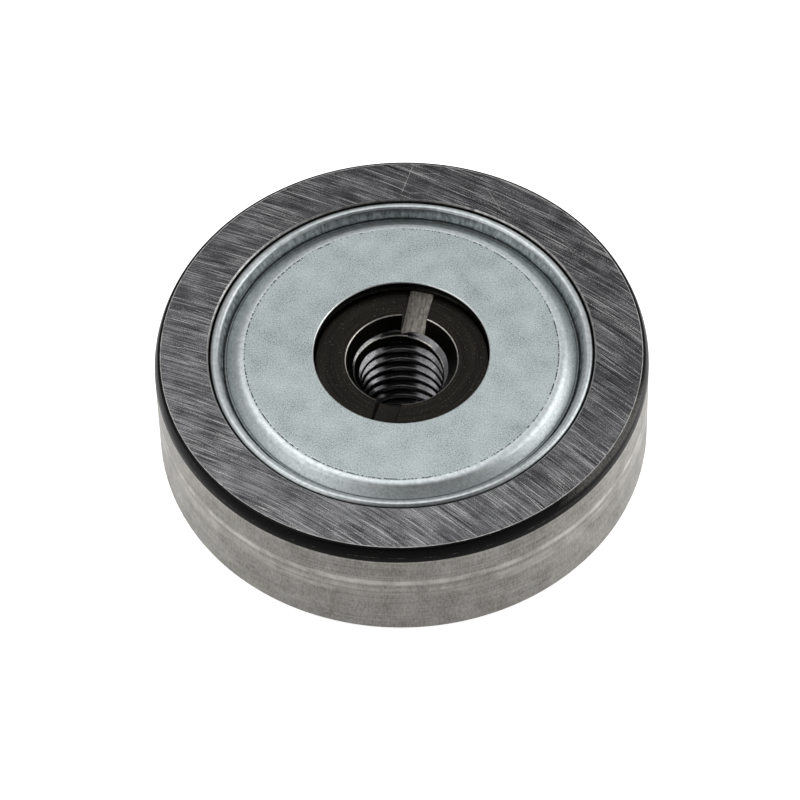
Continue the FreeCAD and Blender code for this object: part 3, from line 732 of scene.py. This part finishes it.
# Stud: turned and blackened, tapped M8 x 1.25 right hand, slot sawn across its face
stud = {
    "seat": 7.5, "chamfer": 0.5, "collar": 10.0, "collarTop": 1.75, "collarChamfer": 0.3,
    "spigot": 6.0, "spigotChamfer": 0.6, "relief": 0.25, "reliefWidth": 0.8,
    "reliefFace": 0.2, "reliefReach": 0.5,
    "threadMajor": 4.0, "pitch": 1.25, "threadPhase": 0.7, "rowsPerPitch": 20,
    "coneMouth": 4.55, "coneAngle": 60, "coneEdge": 0.05, "countersink": 4.25,
    "slotWidth": 2.0, "slotDepth": 1.95, "sawRadius": 16.0, "slotReach": 7.25, "slotFloorRound": 0.15,
    "slotEdge": 0.06, "slotClear": 0.2, "slotSteps": 24, "roundSteps": 5,
    "edge": 0.06, "columns": 224,
}


def boreRadius(up, turnShare):
    # the tapped hole: thread groove, front cone or rear countersink, whichever is widest
    s = stud
    depth = s["pitch"] * 5 / 8 * math.sqrt(3) / 2
    minor = s["threadMajor"] - depth
    fromCrest = abs(turnShare % 1 - 0.5)
    flank = (fromCrest - 1 / 8) / (5 / 16)  # the crest is a quarter of the pitch, each flank 5/16
    thread = minor + depth * min(max(flank, 0), 1)
    cone = s["coneMouth"] - (studFace - up) * math.tan(math.radians(s["coneAngle"] / 2))
    sink = s["countersink"] - (up - studEnd)
    return max(thread, cone, sink), thread >= max(cone, sink)


def threadedBore(columns, turnedFinish, threadFinish, edgeFinish):
    # rows follow the helix, so that each thread edge is one clean line of vertices
    s = stud
    perPitch = s["rowsPerPitch"]
    top = studFace - s["coneEdge"]
    rows = (math.ceil((top - studEnd) / s["pitch"]) + 1) * perPitch + 1
    points = []
    isThread = []
    for column in range(columns):
        angle = fullTurn * column / columns
        for row in range(rows):
            lead = column / columns - row / perPitch
            up = min(max(top + s["pitch"] * lead, studEnd), top)
            across, threaded = boreRadius(up, row / perPitch + s["threadPhase"])
            isThread.append(threaded)
            points.append((across * math.cos(angle) * mm, across * math.sin(angle) * mm, up * mm))
    faces = []
    finishes = []
    for column in range(columns):
        isLast = column == columns - 1
        here = column * rows
        for row in range(rows - 1):
            side = row - perPitch if isLast else row
            if side < 0:
                continue
            beside = 0 if isLast else here + rows
            corners = (here + row, here + row + 1, beside + side + 1, beside + side)
            faces.append(corners)
            # where the thread gives way to the cone: the pale edge finish, partly rubbed metal, partly
            # painted highlight
            if isThread[here + row] and not isThread[here + row + 1]:
                finishes.append(edgeFinish)
            else:
                finishes.append(threadFinish if any(isThread[corner] for corner in corners) else turnedFinish)
    return points, faces, finishes


def slotCutter(farFinish, nearFinish, materials):
    # the round saw's path: its floor curves up to both ends, with rounded edges and a slight flare on top;
    # the far half of the floor takes a lighter grey as painted light, the rest is black oxide
    s = stud
    half = s["slotWidth"] / 2
    steps = s["slotSteps"]
    points = []
    for step in range(steps + 1):
        along = s["slotReach"] * (2 * step / steps - 1)
        floor = studFace - s["slotDepth"] + s["sawRadius"] - math.sqrt(s["sawRadius"] ** 2 - along ** 2)
        section = [(half + s["slotEdge"] + s["slotClear"], studFace + s["slotClear"]),
                   (half, studFace - s["slotEdge"])]
        for part in range(s["roundSteps"] + 1):
            turn = math.radians(90 * part / s["roundSteps"])
            section.append((half - s["slotFloorRound"] * (1 - math.cos(turn)),
                            floor + s["slotFloorRound"] * (1 - math.sin(turn))))
        section += [(-across, up) for across, up in reversed(section)]
        points += [(across * mm, along * mm, up * mm) for across, up in section]
    count = len(section)
    faces = [tuple(range(count)), tuple(range(len(points) - 1, len(points) - count - 1, -1))]
    finishes = [nearFinish, farFinish]
    for step in range(steps):
        start = step * count
        for i in range(count):
            beside = (i + 1) % count
            isFloor = 1 < i < count - 3
            faces.append((start + i, start + beside, start + beside + count, start + i + count))
            finishes.append(farFinish if isFloor and step >= steps / 2 else nearFinish)
    return meshObject("slotCutter", points, faces, finishes, materials)


def makeStud():
    s = stud
    turned, thread, bright, black, edge, chamfer = range(6)
    coneTop = s["coneMouth"] - s["coneEdge"] * math.tan(math.radians(s["coneAngle"] / 2))
    reliefRadius = s["spigot"] - s["relief"]
    reliefEdge = s["spigot"] + s["reliefReach"]
    outline = outlineOf([
        (turned, s["countersink"], studEnd),
        (turned, s["spigot"] - s["spigotChamfer"], studEnd),
        (turned, s["spigot"], studEnd + s["spigotChamfer"]),
        (turned, s["spigot"], -s["reliefWidth"]),
        (turned, reliefRadius, s["relief"] - s["reliefWidth"]),
        (turned, reliefRadius, s["reliefFace"]),
        (turned, reliefEdge - s["reliefFace"], s["reliefFace"]),
        (turned, reliefEdge, 0),
        (turned, s["collar"] - s["collarChamfer"], 0),
        (turned, s["collar"], s["collarChamfer"]),
        (turned, s["collar"], s["collarTop"] - s["collarChamfer"]),
        (turned, s["collar"] - s["collarChamfer"], s["collarTop"]),
        (turned, s["seat"], s["collarTop"]),
        (turned, s["seat"], studFace - s["chamfer"]),
        # the chamfer takes the painted shade finish
        (chamfer, s["seat"] - s["chamfer"], studFace),
        (turned, s["coneMouth"] + s["coneEdge"], studFace),
        # the cone's mouth edge: the pale edge finish, partly rubbed metal, partly painted highlight
        (edge, coneTop, studFace - s["coneEdge"]),
    ], s["edge"], closed=False)
    points, faces, finishes = turnedGrid(outline, s["columns"], closed=False)
    borePoints, boreFaces, boreFinishes = threadedBore(s["columns"], turned, thread, edge)
    offset = len(points)
    points += borePoints
    faces += [tuple(corner + offset for corner in face) for face in boreFaces]
    finishes += boreFinishes
    blacks = [studBlack, threadBlack, slotFloorLit, slotBlack, edgeSteelAndHighlight, chamferShade]
    studPiece = meshObject("blackStud", points, faces, finishes, blacks)
    cutWith(studPiece, slotCutter(bright, black, blacks))
    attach(studPiece, "stud")
    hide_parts("stud")


makeRollerRing()
makeFrontCover()
makeSealWasher()
makeSealLip()
makeStud()
print("pieces made")

# CAD nodes that stay: inner ring, cage, rivets and balls
keptFinish = {
    # painted shade: the inner ring is dark where it shows under the cover
    "inner_ring": plainSteel("bearingSteelPaintedShade", "1a1918", "34322f", 0.36, 0.3),
    "cage_front": plainSteel("cageSteelPressed", "76736e", "aaa7a1", 0.38, 0.4),
    "cage_rivets": plainSteel("rivetSteelHeaded", "807c76", "b4b0a9", 0.34, 0.3),
    "ball_1": plainSteel("ballSteelLapped", "b9babb", "d2d3d4", 0.12, 0.8),
}
keptFinish["cage_rear"] = keptFinish["cage_front"]
for name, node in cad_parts.items():
    finish = keptFinish.get("ball_1" if name.startswith("ball_") else name)
    if finish:
        node.data.materials.clear()
        node.data.materials.append(finish)
print("carried-over solids finished")

# Camera: where the photograph was taken from, long lens, rolled a little
view = {"azimuth": 15.0, "elevation": 53.116, "distance": 426.09, "roll": -1.66, "lens": 234.55,
        "sensor": 36, "clipStart": 0.01, "aimHeight": 5.07, "aside": -0.2285}


def directionAt(azimuth, elevation):
    azimuth = math.radians(azimuth)
    elevation = math.radians(elevation)
    return Vector((math.sin(azimuth) * math.cos(elevation),
                   -math.cos(azimuth) * math.cos(elevation), math.sin(elevation)))


def makeCamera():
    azimuth = math.radians(view["azimuth"])
    right = Vector((math.cos(azimuth), math.sin(azimuth), 0))
    back = directionAt(view["azimuth"], view["elevation"])
    aim = Vector((0, 0, view["aimHeight"])) + right * view["aside"]
    lens = bpy.data.cameras.new("camera")
    lens.lens = view["lens"]
    lens.sensor_width = view["sensor"]
    lens.clip_start = view["clipStart"]
    camera = placed("camera", lens)
    camera.location = (aim + back * view["distance"]) * mm
    camera.rotation_mode = "QUATERNION"
    roll = Quaternion((0, 0, 1), math.radians(view["roll"]))
    camera.rotation_quaternion = back.to_track_quat("Z", "Y") @ roll
    bpy.context.scene.camera = camera


# Stage, in metres: white floor under the spigot's end, white world behind it
stage = {
    "floorSize": 3.0, "floor": "f4f4f4", "seenWhite": 0.85, "worldLight": 0.452,
    # painted reflection: the floor glows white in reflections only from this line back and not under the
    # object, so the front of the floor stays dark in the metal
    "mirroredWhite": 0.38, "whiteFrom": (-0.029, -0.004),  # shiny metal sees the floor white from here on
    "dimUnder": (0.009, 0.012),  # no glow comes up the tapped hole
}


def makeFloor():
    half = stage["floorSize"] / 2
    level = studEnd * mm
    mesh = bpy.data.meshes.new("floor")
    mesh.from_pydata([(-half, -half, level), (half, -half, level), (half, half, level), (-half, half, level)],
                     [], [(0, 1, 2, 3)])
    floor = placed("floor", mesh)
    material = bpy.data.materials.new("whiteFloor")
    material.use_nodes = True
    tree = material.node_tree
    tree.nodes.clear()
    output = addNode(tree, "ShaderNodeOutputMaterial")
    path = addNode(tree, "ShaderNodeLightPath")
    matt = addNode(tree, "ShaderNodeBsdfDiffuse", {"Color": linear(stage["floor"])})
    place = addNode(tree, "ShaderNodeTexCoord")
    away = addNode(tree, "ShaderNodeVectorMath", {
        0: place.outputs["Object"], 1: -directionAt(view["azimuth"], 0)}, operation="DOT_PRODUCT")
    mirrored = addNode(tree, "ShaderNodeMapRange", {
        "Value": away.outputs["Value"], "From Min": stage["whiteFrom"][0], "From Max": stage["whiteFrom"][1],
        "To Max": stage["mirroredWhite"]})
    reach = addNode(tree, "ShaderNodeVectorMath", {0: place.outputs["Object"]}, operation="LENGTH")
    beside = addNode(tree, "ShaderNodeMapRange", {
        "Value": reach.outputs["Value"], "From Min": stage["dimUnder"][0], "From Max": stage["dimUnder"][1]})
    lit = addNode(tree, "ShaderNodeMath", {0: mirrored.outputs[0], 1: beside.outputs[0]},
                  operation="MULTIPLY")
    inMirror = addNode(tree, "ShaderNodeMath", {0: path.outputs["Is Glossy Ray"], 1: lit.outputs[0]},
                       operation="MULTIPLY")
    glow = addNode(tree, "ShaderNodeMath", {
        0: path.outputs["Is Camera Ray"], 1: stage["seenWhite"], 2: inMirror.outputs[0]},
        operation="MULTIPLY_ADD")
    white = addNode(tree, "ShaderNodeEmission", {"Color": (1, 1, 1, 1), "Strength": glow.outputs[0]})
    both = addNode(tree, "ShaderNodeAddShader", {0: matt.outputs[0], 1: white.outputs[0]})
    tree.links.new(both.outputs[0], output.inputs["Surface"])
    mesh.materials.append(material)


def makeWorld():
    world = bpy.data.worlds.new("studio")
    bpy.context.scene.world = world
    world.use_nodes = True
    tree = world.node_tree
    background = next(node for node in tree.nodes if node.type == "BACKGROUND")
    path = addNode(tree, "ShaderNodeLightPath")
    strength = addNode(tree, "ShaderNodeMapRange", {  # white where the camera sees it
        "Value": path.outputs["Is Camera Ray"], "To Min": stage["worldLight"]})
    background.inputs["Color"].default_value = (1, 1, 1, 1)
    tree.links.new(strength.outputs[0], background.inputs["Strength"])


# Studio light: soft boxes round the object, turned from the camera's side (90 is its right), metres and watts
softBoxes = {
    "topBox": {"turn": 200, "elevation": 76, "size": 0.3, "power": 0.26},
    "farBox": {"turn": 180, "elevation": 55, "size": 0.3, "power": 0.07},
    "backLeftBox": {"turn": 235, "elevation": 60, "size": 0.26, "power": 0.24},
    "nearLeftBox": {"turn": 300, "elevation": 50, "size": 0.3, "power": 0.28},
    "highRightBox": {"turn": 100, "elevation": 65, "size": 0.3, "power": 0.08},
    "rightBox": {"turn": 102, "elevation": 36, "size": 0.34, "power": 0.6},
    "leftBox": {"turn": 268, "elevation": 38, "size": 0.3, "power": 0.07},
    "backBox": {"turn": 152, "elevation": 30, "size": 0.4, "power": 0.16},
}
boxDistance = 0.5


def makeLights():
    for name, box in softBoxes.items():
        lamp = bpy.data.lights.new(name, "AREA")
        lamp.shape = "SQUARE"
        lamp.size = box["size"]
        lamp.energy = box["power"]
        back = directionAt(view["azimuth"] + box["turn"], box["elevation"])
        light = placed(name, lamp)
        light.location = back * boxDistance
        light.rotation_mode = "QUATERNION"
        light.rotation_quaternion = back.to_track_quat("Z", "Y")


# Two black cards, one behind and under the camera and one over it, keep its side dark in the shiny rims
# and the thread. Each goes from one (back, up) to another.
blackCards = {"width": 0.7, "panels": [((0.4, studEnd * mm), (0.4, 0.38)), ((0.33, 0.5), (0.07, 0.64))],
              "paper": "101010", "roughness": 0.9}


def makeCards():
    half = blackCards["width"] / 2
    points = [(side, -back, up) for panel in blackCards["panels"] for back, up in panel
              for side in (-half, half)]
    mesh = bpy.data.meshes.new("blackCards")
    mesh.from_pydata(points, [], [(0, 1, 3, 2), (4, 5, 7, 6)])
    card = placed("blackCards", mesh)
    card.rotation_euler.z = math.radians(view["azimuth"])
    material = bpy.data.materials.new("blackCardboard")
    material.use_nodes = True
    surface = next(node for node in material.node_tree.nodes if node.type == "BSDF_PRINCIPLED")
    surface.inputs["Base Color"].default_value = linear(blackCards["paper"])
    surface.inputs["Roughness"].default_value = blackCards["roughness"]
    mesh.materials.append(material)


makeCamera()
makeFloor()
makeWorld()
makeLights()
makeCards()
bpy.context.scene.view_settings.view_transform = "Standard"
print("stage, camera and lights set")
